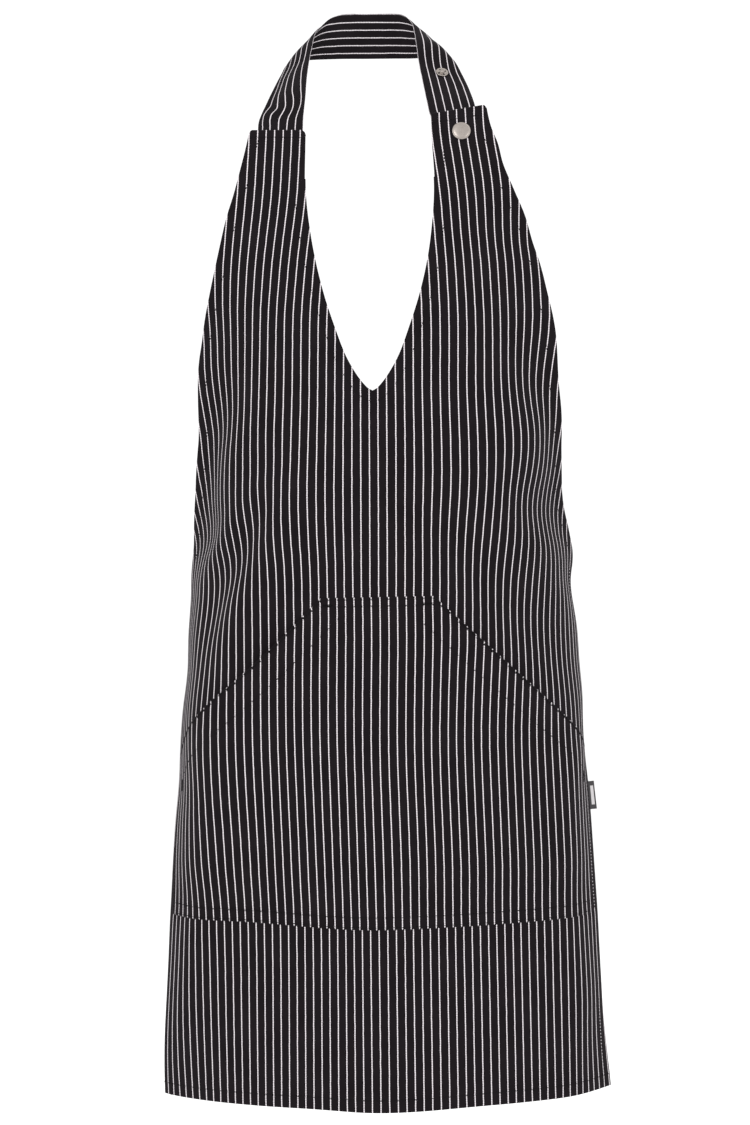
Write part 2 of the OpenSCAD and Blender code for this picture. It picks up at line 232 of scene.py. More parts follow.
def striped_cloth():
    """Black twill with white pinstripes; the grain map holds millimetres across and along the warp."""
    paint = Paint("striped_cloth", roughness=0.85, specular=0.06)
    grain = paint.map_point(GRAIN)
    across, length = paint.grain_axes()
    slow = paint.noise(grain, 0.035, 2)
    fibre = paint.noise(grain, 1.6, 3, 0.6)
    sway = paint.scaled(paint.noise(grain, 0.12, 1), 0.5, -0.25)
    count = paint.math("DIVIDE", paint.math("ADD", across, sway), STRIPE_PITCH)
    away = paint.math("MULTIPLY", paint.apart(count, paint.math("ROUND", count)), STRIPE_PITCH)
    bead = paint.wave(length, BEAD_PITCH)
    edge = paint.scaled(bead, 0.12, STRIPE_HALF)
    white = paint.step(paint.math("SUBTRACT", away, edge), -STRIPE_BLUR, STRIPE_BLUR, 1.0, 0.0)
    twill = paint.wave(paint.math("ADD", across, length), TWILL_PITCH)
    weave = paint.scaled(paint.math("ADD", twill, paint.wave(length, RIB_PITCH)), 0.2, 0.5)
    lit = paint.scaled(paint.math("SUBTRACT", slow, 0.5), 1.6, weave)
    lit = paint.scaled(paint.math("SUBTRACT", fibre, 0.5), 0.9, lit)
    dark = paint.mix(paint.math("MULTIPLY", lit, 0.62), BLACK, BLACK_WORN)
    pale = paint.mix(paint.scaled(bead, 0.22, paint.math("MULTIPLY", fibre, 1.3)), WHITE_SHADE, WHITE)
    paint.colour(paint.mix(white, dark, pale))
    paint.rough(paint.scaled(fibre, 0.2, 0.72))
    crease = paint.math("MULTIPLY", paint.noise(grain, 0.05, 4, 0.55), 9.0)
    height = paint.math("ADD", crease, paint.math("MULTIPLY", weave, 0.9))
    height = paint.scaled(white, paint.scaled(bead, 0.5, 0.9), height)
    paint.bump(paint.scaled(fibre, 0.8, height), 0.00009)
    paint.sheen(0.06, 0.4, CLOTH_SHEEN)
    return paint.material


def black_thread():
    """Twisted polyester thread; the grain map's second axis runs along each stitch."""
    paint = Paint("black_thread", roughness=0.7, specular=0.12)
    ply = paint.wave(paint.math("ADD", *paint.grain_axes()), PLY_PITCH)
    paint.colour(paint.mix(paint.scaled(ply, 0.5, 0.5), *THREAD_SHADES))
    paint.rough(paint.scaled(ply, 0.08, 0.7))
    paint.bump(ply, 0.00006)
    return paint.material


def satin_nickel():
    paint = Paint("satin_nickel", roughness=0.34, metallic=1.0)
    point = paint.object_point()
    cloud = paint.noise(point, 260, 3)
    grit = paint.noise(point, 5200, 2, 0.7)
    tone = paint.scaled(grit, 0.35, paint.math("MULTIPLY", cloud, 0.6))
    paint.colour(paint.mix(tone, *NICKEL_SHADES))
    paint.rough(paint.scaled(cloud, 0.16, 0.27))
    paint.bump(paint.scaled(grit, 0.4, cloud), 0.00002)
    return paint.material


def plain_tape():
    """Dark woven tape with a plain pale field beside the fold, on both faces; no lettering."""
    paint = Paint("label_tape", roughness=0.6, specular=0.4)
    across, length = paint.grain_axes()
    ends = paint.step(paint.apart(length, LABEL_HEIGHT / 2), 8.6, 9.0)
    from_fold = paint.apart(across, LABEL_FOLD)
    sides = paint.step(paint.apart(from_fold, 4.2), 1.7, 2.0)
    cloth = paint.scaled(paint.math("ADD", paint.wave(length, 0.8), paint.wave(across, 0.6)), 0.15, 0.5)
    field = paint.mix(cloth, *LABEL_FIELD_SHADES)
    edge = paint.mix(cloth, *LABEL_EDGE_SHADES)
    paint.colour(paint.mix(paint.math("MAXIMUM", ends, sides), field, edge))
    paint.bump(cloth, 0.00008)
    return paint.material


# ---------- pattern of the cloth

BODY_LENGTH = 890
TAB_DROP = 118
NECK_DEPTH = 240
TAB_CORNERS = {-1: (5, 2.5), 1: (1.5, 3)}
CLOTH = 0.7
HEM = 10
# Half width of the cut by drop, on each side.
OUTLINE = {
    -1: [(-30, 104), (0, 108.5), (35, 116.7), (57, 122.8), (80, 131), (103, 138.3), (126, 145.3), (150, 154),
         (172, 163), (195, 169.5), (242, 178.5), (296, 190), (335, 203), (372, 220), (398, 228), (420, 228.5),
         (760, 228.5), (920, 228.5)],
    1: [(-30, 105), (0, 110.5), (11, 114.2), (34, 118.6), (57, 128.2), (80, 140.3), (107, 149.5),
        (152, 159.3), (197, 169.5), (242, 178.5), (296, 189), (335, 202), (372, 219), (398, 227.5),
        (420, 229), (760, 229), (870, 231), (920, 231.5)],
}
# Half width of the neck opening by the square root of the height above the bottom of the V.
NECKLINE = [(0, 0), (2.35, 8), (4.1, 16.2), (5.65, 24.3), (7.55, 33.5), (9.5, 43.7), (10.7, 49.3),
            (11.9, 54), (13.4, 57.8), (15.5, 57), (16.4, 57)]
# How far in front of the neck the middle of the panel hangs, by drop.
FRONT_DEPTH = [(-30, -108), (0, -115.2), (42, -125.3), (100, -136), (160, -143.5), (230, -148.5),
               (300, -150), (920, -150)]

# How the cloth of each side turns round the wearer, in degrees away from the viewer, by drop:
# the angle that the turn adds, where it is half done, over what width, and a slow lean from the
# centre. Drag folds run down and out to where the tie pulls: middle across and down, slope, width,
# length and angle. The spread is how far the cloth is eased out or in across, and grain_out is how
# far out the stripes run at the tabs. Turn, width, lean, spread and folds were found by a separate
# fitting script against the stripes and outline in the photograph, then rounded; some spreads and
# grain_out were set by hand.
LEFT_WRAP = {
    "turn": [(60, 3, 68), (120, 14, 96), (180, 29, 98), (240, 25, 100), (300, 23, 81),
             (350, 36, 129), (400, 58, 183), (450, 62, 188), (520, 66, 182),
             (600, 67, 165), (700, 47, 176), (800, 36, 201), (890, 12, 217)],
    "width": [(60, 70), (240, 20), (350, 12), (450, 12), (600, 27), (890, 12)],
    "lean": [(60, 3), (180, 4), (300, 0), (400, 6), (500, 7), (600, 1), (725, 7), (890, 16)],
    "spread": [(60, 1.0), (240, 0.985), (330, 1.04), (368, 1.024), (400, 0.985), (450, 0.976), (550, 0.974),
               (700, 0.949), (757, 0.95), (890, 0.972)],
    "folds": [(114, 379, 0.52, 19, 68, 42), (155, 297, 0.35, 25, 64, 35), (159, 447, 0.05, 24, 104, 36)],
    "grain_out": [(0, 19), (60, 15.3), (115, 7), (170, 1.2), (230, 0)],
}
RIGHT_WRAP = {
    "turn": [(60, 5, 144), (120, 13, 162), (180, 0, 164), (240, 0, 168), (300, 16, 116),
             (350, 7, 114), (400, 24, 148), (450, 67, 214), (520, 69, 217),
             (600, 37, 186), (700, 31, 181), (800, 34, 192), (890, 17, 175)],
    "width": [(60, 67), (240, 24), (350, 12), (450, 68), (600, 12), (890, 15)],
    "lean": [(60, 21), (180, 3), (300, 0), (400, 12), (500, 14), (600, 13), (725, 12), (890, 13)],
    "spread": [(0, 1.03), (60, 1.05), (120, 1.065), (240, 1.03), (330, 1.079), (450, 1.007),
               (550, 0.966), (700, 0.977), (890, 0.996)],
    "folds": [(65, 392, 0.89, 45, 150, 13), (133, 345, 0.62, 42, 41, 24), (162, 285, 0.4, 39, 121, 43)],
    "grain_out": [(0, 11), (60, 4.8), (115, 2), (170, 0)],
}
# How far the stripes run off the centre line, by drop.
FRONT_GRAIN = [(0, 5.2), (190, 5.2), (237, 4.7), (331, 3.4), (412, 2.1), (727, -3.5), (890, -4.8)]
POCKET_GRAIN = [(420, 2.9), (457, 2.8), (511, 1.2), (565, 0.3), (619, 1.1), (655, 1.8), (725, 2.2)]


def unit(v):
    return v / np.linalg.norm(v, axis=-1, keepdims=True)


def distances(path):
    """How far each point of a path lies from its start, along it."""
    return np.concatenate([[0], np.cumsum(np.linalg.norm(np.diff(path, axis=0), axis=1))])


def word(side):
    return "left" if side < 0 else "right"


def bell(t):
    return np.exp(-np.square(t))


def ease(t):
    t = np.clip(t, 0, 1)
    return t * t * (3 - 2 * t)


def along(points, x):
    """Value at x of the smooth curve through the points, level beyond its ends."""
    xs, ys = np.array(points, float).T
    slope = np.gradient(ys, xs)
    x = np.clip(x, xs[0], xs[-1])
    i = np.clip(np.searchsorted(xs, x) - 1, 0, len(xs) - 2)
    w = xs[i + 1] - xs[i]
    t = (x - xs[i]) / w
    rise = t * t * (3 - 2 * t)
    swing = slope[i] * t * (1 - t) ** 2 - slope[i + 1] * t * t * (1 - t)
    return ys[i] + (ys[i + 1] - ys[i]) * rise + w * swing


def rounded(points, x, reach=14):
    """Value at x of the straight-line curve through the points, with its corners rounded off."""
    xs, ys = np.array(points, float).T
    return sum(np.interp(x + reach * s, xs, ys) for s in (-1, -0.5, 0, 0.5, 1)) / 5


def half_out(d, side):
    return along(OUTLINE[side], d)


def half_in(d):
    return along(NECKLINE, np.sqrt(np.clip(NECK_DEPTH - d, 0, None)))


U_STEP, D_STEP = 1.0, 2.0
U_GRID = np.arange(0, 251, U_STEP)
D_GRID = np.arange(-40, 931, D_STEP)


def lean_angle(wrap, u, d):
    angle = rounded(wrap["lean"], d) * u / 100
    drops, turns, middles = np.array(wrap["turn"]).T
    off = u - rounded(np.stack([drops, middles], 1), d)
    turned = 0.5 * (1 + np.tanh(off / rounded(wrap["width"], d)))
    angle = angle + rounded(np.stack([drops, turns], 1), d) * turned
    for middle, drop, slope, width, length, lift in wrap["folds"]:
        angle = angle + lift * bell((d - drop) / length) * bell((u - middle - slope * (d - drop)) / width)
    return np.radians(np.clip(angle * ease((d - 20) / 90), -20, 96))


def wrap_side(wrap, side):
    """Places and outward normals of one side's cloth over the u and d grids, in millimetres."""
    u = (U_GRID[1:] + U_GRID[:-1])[None, :] / 2
    d = D_GRID[:, None]
    angle = lean_angle(wrap, u, d)
    spread = 1 + (rounded(wrap["spread"], d) - 1) * ease(u / 20)
    zero = np.zeros((len(D_GRID), 1))
    x = np.concatenate([zero, np.cumsum(spread * np.cos(angle) * U_STEP, 1)], 1)
    y = np.concatenate([zero, np.cumsum(spread * np.sin(angle) * U_STEP, 1)], 1)
    y = y + along(FRONT_DEPTH, d) + ripple(U_GRID[None, :] * side, d)
    points = np.stack([side * x, y, np.broadcast_to(-TAB_DROP - d, x.shape)], -1)
    du, dd = np.gradient(points, axis=1), np.gradient(points, axis=0)
    return points, unit(np.cross(dd, du) * side)


def ripple(u, d):
    """Slow unevenness of cloth that hangs free, in millimetres towards the back."""
    slow = np.sin(u / 31 + d / 90 + 0.7) * np.sin(d / 61 - u / 140)
    quick = 0.5 * np.sin(u / 17 - d / 47 + 2.1) * np.sin(d / 29 + u / 38 + 1)
    return 0.7 * (slow + quick) * ease((d - 60) / 200)


SIDES = {-1: wrap_side(LEFT_WRAP, -1), 1: wrap_side(RIGHT_WRAP, 1)}


def place(u, d, h=0.0):
    """Frame points, in metres, of the middle of the worn cloth, raised by h millimetres."""
    u, d, h = np.broadcast_arrays(np.asarray(u, float), np.asarray(d, float), np.asarray(h, float))
    a = np.clip(np.abs(u) / U_STEP, 0, len(U_GRID) - 1.001)
    b = np.clip((d - D_GRID[0]) / D_STEP, 0, len(D_GRID) - 1.001)
    i, j = b.astype(int), a.astype(int)
    s, t = (b - i)[..., None], (a - j)[..., None]
    out = np.zeros(u.shape + (3,))
    for side, (points, normals) in SIDES.items():
        chosen = (u < 0) if side < 0 else (u >= 0)
        for grid, factor in ((points, 1.0), (normals, h[..., None])):
            low = grid[i, j] * (1 - t) + grid[i, j + 1] * t
            high = grid[i + 1, j] * (1 - t) + grid[i + 1, j + 1] * t
            out = out + np.where(chosen[..., None], factor * (low * (1 - s) + high * s), 0)
    return out * MM


def front_grain(u, d):
    """Millimetres across the warp, and along it, of a point of the front panel."""
    out = np.where(u < 0, rounded(LEFT_WRAP["grain_out"], d), rounded(RIGHT_WRAP["grain_out"], d))
    across = u + np.sign(u) * out - rounded(FRONT_GRAIN, d, 20)
    return np.stack([across, d + 0 * u], -1)


def pocket_grain(u, d):
    return np.stack([u - rounded(POCKET_GRAIN, d, 20), d + 0 * u], -1)


# ---------- mesh helpers


def make_object(name, points, faces, grain, material):
    """Mesh of the points, with the grain as its own map."""
    points = np.asarray(points, float).reshape(-1, 3)
    grain = np.asarray(grain, np.float32).reshape(-1, 2)
    mesh = bpy.data.meshes.new(name)
    mesh.from_pydata([tuple(p) for p in points], [], faces)
    layer = mesh.uv_layers.new(name=GRAIN)
    corner = np.empty(len(mesh.loops), np.int32)
    mesh.loops.foreach_get("vertex_index", corner)
    layer.data.foreach_set("uv", grain[corner].ravel())
    mesh.polygons.foreach_set("use_smooth", [True] * len(mesh.polygons))
    mesh.materials.append(material)
    obj = bpy.data.objects.new(name, mesh)
    bpy.context.collection.objects.link(obj)
    return obj


def grid_faces(rows, cols, start=0, closed=False):
    last = cols if closed else cols - 1
    return [
        (start + i * cols + j, start + (i + 1) * cols + j,
         start + (i + 1) * cols + (j + 1) % cols, start + i * cols + (j + 1) % cols)
        for i in range(rows - 1) for j in range(last)
    ]


def thicken(obj, thickness):
    """Gives a sheet its thickness, in millimetres, and applies it."""
    solid = obj.modifiers.new("thickness", "SOLIDIFY")
    solid.thickness = thickness * MM
    solid.offset = 0.0
    graph = bpy.context.evaluated_depsgraph_get()
    shaped = obj.evaluated_get(graph)
    made = bpy.data.meshes.new_from_object(shaped, preserve_all_data_layers=True, depsgraph=graph)
    obj.modifiers.clear()
    obj.data = made


def weld(obj, where=None, reach=0.02, turn_out=True):
    """Joins the points that lie within reach of each other, in millimetres."""
    mesh = bmesh.new()
    mesh.from_mesh(obj.data)
    chosen = [v for v in mesh.verts if where is None or where(v.co)]
    bmesh.ops.remove_doubles(mesh, verts=chosen, dist=reach * MM)
    if turn_out:
        bmesh.ops.recalc_face_normals(mesh, faces=mesh.faces)
    mesh.to_mesh(obj.data)
    mesh.free()


def sheet_object(name, points, grain, material, thickness=CLOTH):
    """Solid sheet over a grid of points, rows by columns."""
    obj = make_object(name, points, grid_faces(len(points), len(points[0])), grain, material)
    thicken(obj, thickness)
    return obj


# Section through a turned edge: how far out of the edge, how far behind the face, and the length
# of cloth from the edge to there.
TURN_RADIUS = 0.42


def turned_edge(width):
    arc = [(TURN_RADIUS * math.sin(a), TURN_RADIUS * (1 - math.cos(a)), TURN_RADIUS * a)
           for a in (math.pi * k / 5 for k in range(1, 6))]
    half_turn = math.pi * TURN_RADIUS
    flat = [(-width * k / 3, 2 * TURN_RADIUS, half_turn + width * k / 3) for k in (1, 2, 3)]
    return arc + flat


# ---------- front panel

COLUMNS = 92


def tab_top(side, t):
    """Drop of a tab's top edge, t across from its inner corner, with rounded corners."""
    width = 52
    level = -16 - 8 * t if side > 0 else -2.5 - 1.0 * t
    for radius, near in zip(TAB_CORNERS[side], (t, 1 - t)):
        short = np.clip(radius - near * width, 0, None)
        level = level + radius - np.sqrt(np.clip(radius ** 2 - short ** 2, 0, None))
    return level


def hem_rise(side, u):
    """How much shorter the panel hangs beside its middle, in millimetres."""
    return (3.6 if side < 0 else 2.2) * (1 - bell(u / 55))


def front_half(side):
    """One half of the front panel, row by row: place across and down, stand-off, and grain."""
    t = np.linspace(0, 1, COLUMNS + 1)
    t = t + 0.04 * np.sin(2 * np.pi * t)
    top = tab_top(side, t)
    near = [0, 0.06, 0.25, 0.6, 1.1, 1.8, 2.8, 4.2, 6, 8.2, 10.8]
    climb = np.array([*near, *np.arange(13.5, NECK_DEPTH, 3.0), NECK_DEPTH])
    rows = []
    hem = turned_edge(HEM)
    for out, back, length in reversed(hem[:-1]):
        rows.append((top - out, t, -back, top - length))
    for above in climb[::-1]:
        d = NECK_DEPTH + (top - NECK_DEPTH) * above / NECK_DEPTH
        rows.append((d, t, 0, d))
    for d in np.linspace(NECK_DEPTH, BODY_LENGTH, 218)[1:]:
        low = d - hem_rise(side, 230 * t) * ease((d - 700) / 190)
        rows.append((low, t, 0, low))
    for out, back, length in hem:
        rows.append((low + out, t, -back, low + length))
    out, back, length = np.array(hem).T
    made = []
    for drop, share, behind, grain_drop in rows:
        inner, outer = half_in(drop), half_out(drop, side)
        across = inner + (outer - inner) * share
        face = [across, drop, behind + 0 * share, across, grain_drop]
        turn = [across[-1] + out, drop[-1] + 0 * out, behind - back, across[-1] + length,
                grain_drop[-1] + 0 * out]
        made.append(np.hstack([face, turn]))
    return np.array(made).transpose(1, 0, 2)


def make_front(material):
    points, grain, faces, start = [], [], [], 0
    for side in (-1, 1):
        u, d, h, gu, gd = front_half(side)
        points += [*place(side * u, d, h).reshape(-1, 3)]
        grain += [*front_grain(side * gu, gd).reshape(-1, 2)]
        made = grid_faces(*u.shape, start)
        faces += made if side > 0 else [tuple(reversed(f)) for f in made]
        start += u.size
    obj = make_object("front_cloth", points, faces, grain, material)
    weld(obj, lambda point: abs(point.x) < 0.02 * MM, 0.05, False)
    thicken(obj, CLOTH)
    return obj


def make_neck_facing(side, material):
    """Strip behind the neck edge, turned over it from the front."""
    low = NECK_DEPTH + np.array([4, 12, 20])
    drops = np.concatenate([np.linspace(44, 200, 52), np.linspace(202, 239.9, 26), low])
    section = turned_edge(24)
    points, grain = [], []
    for d in drops:
        below = max(d - NECK_DEPTH, 0)
        edge = half_in(d)
        row = [(0.3, -1.0, 0)] if below else [(edge, -0.05, 0)]
        for out, back, length in section:
            u = edge - out * (1 - 0.4 * below / 20 if out < 0 else 1)
            row.append((max(u, 0.3), -2.1 * TURN_RADIUS if below else -back, length))
        points.append(place(np.array([side * r[0] for r in row]), d, np.array([r[1] for r in row])))
        grain.append(front_grain(np.array([side * (edge - r[2]) for r in row]), d))
    return sheet_object(f"neck_facing_{word(side)}_cloth", points, grain, material, 0.6)


# ---------- pocket

POCKET_TOP, POCKET_BOTTOM = 427, 725
POCKET_TOP_HALF, POCKET_SIDE = 51, 222
MOUTH_END = 570
POCKET_ROOM = 5.5
POCKET_SEAT = 0.95


def pocket_half(d):
    t = np.clip((d - POCKET_TOP) / (MOUTH_END - POCKET_TOP), 0, 1)
    return POCKET_TOP_HALF + (POCKET_SIDE - POCKET_TOP_HALF) * t - 7 * np.sin(np.pi * t)


def pocket_lift(u, d):
    """How far the pocket stands off the front panel, most of all between its sewn edges."""
    across = 1 - np.minimum(np.abs(u) / POCKET_SIDE, 1) ** 4
    room = POCKET_ROOM * across * ease((POCKET_BOTTOM - d) / 60) * ease((d - POCKET_TOP) / 50)
    return POCKET_SEAT + room


def pocket_low(u, d):
    """The pocket's lower edge is sewn a little higher at the sides, most of all on the left."""
    rise = np.where(u < 0, 9.0 * ease(-u / 160), 2.0 * ease(u / 200))
    return d - rise * ease((d - 560) / 165)


def make_pocket(material):
    t = np.linspace(-1, 1, 171)
    hem = turned_edge(HEM)
    drops = [(POCKET_TOP - o, b, POCKET_TOP - w) for o, b, w in reversed(hem[:-1])]
    drops += [(d, 0, d) for d in np.linspace(POCKET_TOP, POCKET_BOTTOM, 112)]
    drops += [(POCKET_BOTTOM + o, b, POCKET_BOTTOM + w) for o, b, w in hem]
    points, grain = [], []
    for d, behind, grain_d in drops:
        half = pocket_half(d)
        u = half * (t + 0.03 * np.sin(np.pi * t))
        left = [(-half - o, -b, -half - w) for o, b, w in reversed(hem)]
        right = [(half + o, -b, half + w) for o, b, w in hem]
        us, hs, gs = np.array(left + [(v, 0, v) for v in u] + right).T
        points.append(place(us, pocket_low(us, d), pocket_lift(us, d) + hs - behind))
        grain.append(pocket_grain(gs, np.full_like(gs, grain_d)))
    return sheet_object("pocket_cloth", points, grain, material)


def make_pocket_facing(side, material):
    drops = np.linspace(POCKET_TOP + 12, MOUTH_END + 8, 46)
    points, grain = [], []
    for d in drops:
        half = pocket_half(min(d, MOUTH_END))
        u = half - 1.5 - 30 * np.linspace(0, 1, 9)
        points.append(place(side * u, d, pocket_lift(u, d) - 3.1 * TURN_RADIUS - 0.15))
        grain.append(pocket_grain(side * u + 3, np.full_like(u, d)))
    return sheet_object(f"pocket_facing_{word(side)}_cloth", points, grain, material, 0.5)


# ---------- stitching

STITCH_PITCH = 3.1
THREAD_RADIUS = 0.34


def pocket_seam(u, d):
    return pocket_lift(u, d) + CLOTH / 2


def on_pocket(path):
    """A line of the pocket's pattern, moved to where the pocket is sewn."""
    return line(path[:, 0], pocket_low(path[:, 0], path[:, 1]))


def front_seam(u, d):
    return CLOTH / 2 + 0 * u


def line(across, drops):
    """A flat line of the pattern, point by point."""
    return np.stack(np.broadcast_arrays(across, drops), 1)


def inset(path, distance):
    """A line beside a flat line, moved square to it by that distance."""
    run = unit(np.gradient(path, axis=0))
    return path + distance * np.stack([-run[:, 1], run[:, 0]], 1)


def resample(path, pitch):
    length = distances(path)
    count = max(2, int(round(length[-1] / pitch)))
    marks = np.linspace(0, length[-1], count + 1)
    return np.stack([np.interp(marks, length, path[:, k]) for k in (0, 1)], 1)


def tube(rings, sides, radii):
    """Points of one tube, ring by ring, along a list of (centre, normal, across)."""
    points = []
    for (centre, normal, across), radius in zip(rings, radii):
        for k in range(sides):
            a = 2 * math.pi * k / sides
            points.append(centre + radius * (math.cos(a) * across + math.sin(a) * normal))
    return points


# Along one stitch: how far along it, how high above the cloth, and its share of the radius.
STITCH = [(0, -0.45, 0.5), (0.14, 0.02, 0.95), (0.5, 0.12, 1.0), (0.86, 0.02, 0.95), (1, -0.45, 0.5)]
STITCH_SIDES = 6


def stitch_rows(name, lines, height, material, gap=0.24):
    """Lock stitches along flat lines; height gives how far the face of the cloth stands off."""
    points, faces, grain = [], [], []
    shares, lifts, sizes = np.array(STITCH).T
    for path in lines:
        marks = resample(path, STITCH_PITCH)
        for a, b in zip(marks[:-1], marks[1:]):
            start, end = a + (b - a) * gap / 2, b - (b - a) * gap / 2
            u, d = (start + (end - start) * shares[:, None]).T
            off = height(u, d) + lifts
            centre = place(u, d, off)
            normal = unit(place(u, d, off + 1) - centre)
            across = np.cross(unit(centre[-1] - centre[0]), normal)
            first = len(points)
            last = first + (len(STITCH) - 1) * STITCH_SIDES
            points += tube(zip(centre, normal, across), STITCH_SIDES, THREAD_RADIUS * MM * sizes)
            faces += grid_faces(len(STITCH), STITCH_SIDES, first, closed=True)
            faces.append(tuple(range(first, first + STITCH_SIDES)))
            faces.append(tuple(reversed(range(last, last + STITCH_SIDES))))
            grain += [(k * 0.25, share * STITCH_PITCH) for share in shares for k in range(STITCH_SIDES)]
    return make_object(name, points, faces, grain, material)


def body_seams():
    """Rows beside the neck edge, down the sides, across the tabs and along the hem."""
    lines = []
    for side in (-1, 1):
        top = -16 if side > 0 else -2.5
        legs = np.concatenate([np.linspace(top + 1, 200, 90), NECK_DEPTH - np.linspace(6.3, 0, 60) ** 2])
        neck = inset(line(half_in(legs), legs), -9.5)
        lines.append(neck[neck[:, 0] > 0.4] * [side, 1])
        down = np.linspace(tab_top(side, 1.0) + 4, BODY_LENGTH - 2, 220)
        lines.append(inset(line(half_out(down, side), down), 9.0) * [side, 1])
        t = np.linspace(0.02, 0.98, 12)
        drop = tab_top(side, t) + (8.5 if side > 0 else 6.5)
        across = half_in(drop) + (half_out(drop, side) - half_in(drop)) * t
        lines.append(line(side * across, drop))
    across = np.linspace(-230, 230, 120)
    low = BODY_LENGTH - 10.5 - np.where(across < 0, hem_rise(-1, across), hem_rise(1, across))
    lines.append(line(across, low))
    return lines


def pocket_seams():
    """Rows along the top and bottom edges, beside the mouths, on the facings and down the sides; the three
    close rows beside each mouth are partly its stitching and partly a painted shade line along the folded
    mouth edge.
    """
    top = np.linspace(-POCKET_TOP_HALF - 1, POCKET_TOP_HALF + 1, 20)
    bottom = np.linspace(-219, 219, 90)
    lines = [line(top, POCKET_TOP + drop) for drop in (1.2, 7.2)]
    lines += [on_pocket(line(bottom, POCKET_BOTTOM - drop)) for drop in (1.4, 10.5)]
    mouth = np.linspace(POCKET_TOP, MOUTH_END, 60)
    edge = line(pocket_half(mouth), mouth)
    facing = inset(edge, 24)
    facing = facing[facing[:, 1] > POCKET_TOP + 8]
    down = np.linspace(MOUTH_END + 2, POCKET_BOTTOM - 2, 40)
    for side in (-1, 1):
        # Three overlapping rows of black thread: partly the mouth's stitching, partly painted shade along its
        # folded edge.
        lines += [inset(edge, beside) * [side, 1] for beside in (0.5, 1.2, 1.9)]
        lines.append(facing * [side, 1])
        lines.append(on_pocket(line(side * (POCKET_SIDE - 1.6), down)))
    return lines


def make_bartacks(material):
    """Dense zigzag bars that close the ends of the pocket mouths."""
    lines = []
    for side in (-1, 1):
        u, d = side * (POCKET_TOP_HALF - 6), POCKET_TOP + 6
        lines += [np.array([[x, d - 1.1], [x + 0.3, d + 1.1]]) for x in u - 4.2 + 0.7 * np.arange(13)]
        u, d = side * (POCKET_SIDE - 12), MOUTH_END + 27
        lines += [np.array([[u - 1.1, y], [u + 1.1, y + 0.3]]) for y in d - 4.9 + 0.7 * np.arange(15)]
    return stitch_rows("bartack_bars", lines, pocket_seam, material, 0.02)


# ---------- doubled bands

BAND_ACROSS = 18


def smooth_path(keys, steps=9):
    """Smooth path through the keys, with that many steps between each two."""
    keys = np.array(keys, float)
    marks = np.arange(len(keys))
    fine = np.linspace(0, len(keys) - 1, (len(keys) - 1) * steps + 1)
    return np.stack([along(np.stack([marks, keys[:, k]], 1), fine) for k in range(3)], 1)


def band(name, first, second, thickness, material, width, share=None, bow=None):
    """A band of doubled cloth between two edges, in millimetres, with rounded folds for edges.

    share(i, f) moves a fraction f of the flat width across the band at station i, and bow(i, f)
    raises it off the straight line between the edges.
    """
    stations = np.arange(len(first))[:, None]
    f = np.linspace(0, 1, BAND_ACROSS + 1)
    f = (f - 0.07 * np.sin(2 * np.pi * f))[None, :]
    moved = f + 0 * stations if share is None else share(stations, f)
    raised = 0 * moved if bow is None else bow(stations, f)
    run = unit(np.gradient((first + second) / 2, axis=0))
    normal = unit(np.cross(run, second - first))
    middle = first[:, None] * (1 - moved[..., None]) + second[:, None] * moved[..., None]
    middle = middle + normal[:, None] * raised[..., None]
    face = unit(np.cross(np.gradient(middle, axis=0), np.gradient(middle, axis=1)))
    half = thickness / 2 * np.sqrt(np.clip(1 - np.abs(2 * f - 1) ** 12, 0, 1))
    outer, inner = middle + face * half[..., None], middle - face * half[..., None]
    points = np.concatenate([inner[:, ::-1], outer[:, 1:]], 1)
    length = distances(middle.mean(1))
    across = np.concatenate([-f[0, ::-1], f[0, 1:]]) * width
    grain = np.stack(np.broadcast_arrays(across[None, :], length[:, None]), -1)
    rows, cols = points.shape[:2]
    faces = grid_faces(rows, cols)
    faces.append(tuple(reversed(range(cols))))
    faces.append(tuple((rows - 1) * cols + j for j in range(cols)))
    obj = make_object(name, points * MM, faces, grain, material)
    weld(obj)
    return obj


# ---------- neck strap

STRAP_WIDTH = 43
STRAP_THICK = 1.6
# The two edges from the back of the neck to each tab. The edge on top at the back is the one
# beside the neck opening in front, so the strap turns its outer face to the viewer on the way.
# A separate script worked these points out from places read by eye on the photograph.
STRAP_BACK = ((0, 0, 22), (0, 0, -22))
STRAP_LEFT_TOP = [(-20, -1, 22), (-33.4, -6, 17), (-42, -13, 8), (-48, -23, -1), (-51, -38, -17),
                  (-53.5, -54, -34.5), (-55.9, -72, -57), (-57, -88, -77), (-58.9, -104, -101.5)]
STRAP_LEFT_LOW = [(-20.6, -3, -22.4), (-38, -11, -24.5), (-54, -20.5, -27.3), (-66.5, -32, -31.5),
                  (-76, -48, -40), (-81, -62, -51.5), (-87.8, -77, -68.8), (-93.8, -90, -85),
                  (-100.1, -103, -103.3)]
STRAP_RIGHT_TOP = [(28, -1, 21.5), (38, -8, 17.5), (44.3, -20, 7.3), (46.4, -31, -3.8), (48, -47, -22),
                   (49.4, -60, -41), (52, -76, -62), (55.3, -93, -85.5), (57, -101, -97.5)]
STRAP_RIGHT_LOW = [(27, -3, -23), (45, -12, -25.5), (63.3, -27, -28.6), (74.4, -38, -31.6),
                   (84.5, -52, -40.5), (90, -63, -53.8), (95.3, -75.5, -69.5), (98.7, -91, -84.5),
                   (100.2, -99, -93.5)]
STRAP_STEPS = 9
# Where the five stripes of the crumpled left part lie, in hundredths of the way across, by distance
# from the tab.
STRIPE_SHARES = (0, 17, 35, 53, 70, 88, 100)
LEFT_CROWD = [(0, (17, 36, 55, 73, 90)), (14, (15, 33, 53, 75, 92)), (20, (12, 28, 48, 74, 93)),
              (27, (9, 26, 45, 65, 92)), (35, (9, 28, 48, 67, 87)), (46, (12, 34, 53, 71, 88)),
              (64, (16, 38, 57, 73, 88)), (86, (20, 41, 60, 76, 91)), (112, (17, 35, 53, 70, 88))]
